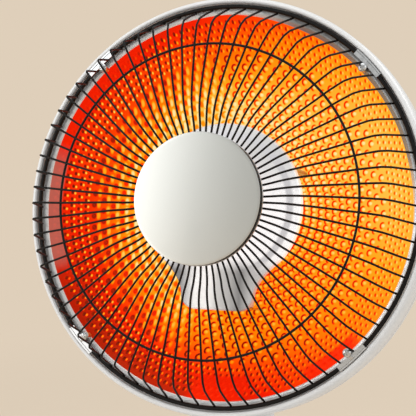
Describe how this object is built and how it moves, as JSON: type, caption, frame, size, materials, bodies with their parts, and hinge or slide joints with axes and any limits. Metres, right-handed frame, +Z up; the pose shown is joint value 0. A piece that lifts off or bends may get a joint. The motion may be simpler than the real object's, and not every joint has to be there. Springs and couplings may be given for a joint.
{
  "type": "parabolic heater",
  "caption": "Tabletop parabolic heater: bright dish with a glowing quartz element behind a round wire guard, on a tilting, swinging neck and a weighted round base.",
  "frame": {"origin": "centre of the bounding box's bottom, on the floor under the base", "axes": "+Z up, -Y the way the dish faces at rest, +X to the right of someone who looks along +Y at the dish"},
  "size_m": [0.331, 0.23, 0.4901],
  "materials": {
    "white_plastic": "moulded, semi-gloss white",
    "grey_plastic": "moulded, satin grey",
    "black_wire": "steel wire, black enamel, semi-gloss",
    "bright_aluminium": "polished and anodised sheet",
    "satin_aluminium": "fine satin sheet",
    "zinc_steel": "zinc-plated steel",
    "cast_iron": "raw casting",
    "ceramic": "unglazed steatite ceramic",
    "quartz": "clear fused quartz, lit from inside",
    "heating_alloy": "resistance wire at orange heat",
    "phenolic": "moulded phenolic, matte black",
    "black_rubber": "moulded rubber, matte",
    "lamp_lens": "tinted clear acrylic"
  },
  "bodies": {
    "base": {"base_shell": "white_plastic", "base_plate": "zinc_steel", "counterweight": "cast_iron", "swivel_bush": "grey_plastic", "oscillation_motor": "zinc_steel", "cord_gland": "black_rubber", "rotary_switch": "phenolic", "indicator_lamp": "lamp_lens", "oscillation_switch": "phenolic", "tip_switch": "phenolic", "base_screw_1": "zinc_steel", "base_screw_2": "zinc_steel", "base_screw_3": "zinc_steel", "base_screw_4": "zinc_steel", "foot_pad_1": "black_rubber", "foot_pad_2": "black_rubber", "foot_pad_3": "black_rubber", "foot_pad_4": "black_rubber"},
    "neck": {"neck_front_shell": "white_plastic", "neck_rear_shell": "white_plastic", "tilt_barrel": "grey_plastic", "neck_foot": "white_plastic", "swing_shaft": "zinc_steel", "swing_lever": "zinc_steel"},
    "head": {"front_bezel": "white_plastic", "rear_housing": "white_plastic", "reflector_dish": "bright_aluminium", "heat_shade": "bright_aluminium", "shade_post_right": "zinc_steel", "shade_post_left": "zinc_steel", "element_bracket": "zinc_steel", "tube_holder_right": "ceramic", "tube_holder_left": "ceramic", "quartz_tube": "quartz", "heating_coil": "heating_alloy", "wire_guard": "black_wire", "guard_middle_ring": "black_wire", "guard_hub_ring": "black_wire", "centre_cap": "satin_aluminium", "cap_clamp_plate": "zinc_steel", "cap_screw": "zinc_steel", "thermal_cutout": "zinc_steel", "terminal_block": "phenolic", "carry_handle": "grey_plastic", "tilt_bracket": "grey_plastic", "tilt_bolt": "zinc_steel", "tilt_nut": "zinc_steel", "guard_clip_1": "zinc_steel", "guard_clip_2": "zinc_steel", "guard_clip_3": "zinc_steel", "guard_clip_4": "zinc_steel", "guard_screw_1": "zinc_steel", "guard_screw_2": "zinc_steel", "guard_screw_3": "zinc_steel", "guard_screw_4": "zinc_steel"},
    "crank": {"crank_disc": "grey_plastic"},
    "knob": {"power_knob": "grey_plastic", "switch_spindle": "zinc_steel"},
    "button": {"oscillation_button": "grey_plastic"},
    "plunger": {"tip_plunger": "grey_plastic"}
  },
  "joints": [
    {"name": "neck_swing", "type": "hinge", "parent": "base", "child": "neck", "pos_m": [0, 0, 0.05], "axis": [0, 0, 1], "range_deg": [-35, 35]},
    {"name": "head_tilt", "type": "hinge", "parent": "neck", "child": "head", "pos_m": [0, 0.052, 0.215], "axis": [-1, 0, 0], "range_deg": [-10, 20]},
    {"name": "crank_turn", "type": "hinge", "parent": "base", "child": "crank", "pos_m": [0, 0.026, 0.03], "axis": [0, 0, 1], "range_deg": [-90, 90]},
    {"name": "knob_turn", "type": "hinge", "parent": "base", "child": "knob", "pos_m": [0, -0.076, 0.04156], "axis": [0, -0.2115, 0.9774], "range_deg": [0, 120]},
    {"name": "button_press", "type": "slide", "parent": "base", "child": "button", "axis": [-0.0927, 0.1901, -0.9774], "range_m": [0, 0.003], "stiffness_N_per_m": 200, "springref_m": -0.005},
    {"name": "plunger_drop", "type": "slide", "parent": "base", "child": "plunger", "axis": [0, 0, -1], "range_m": [0, 0.004], "stiffness_N_per_m": 40, "springref_m": 0.012}
  ],
  "couplings": [
    {"joint": "crank_turn", "follows": "neck_swing", "ratio": 2.5714}
  ]
}
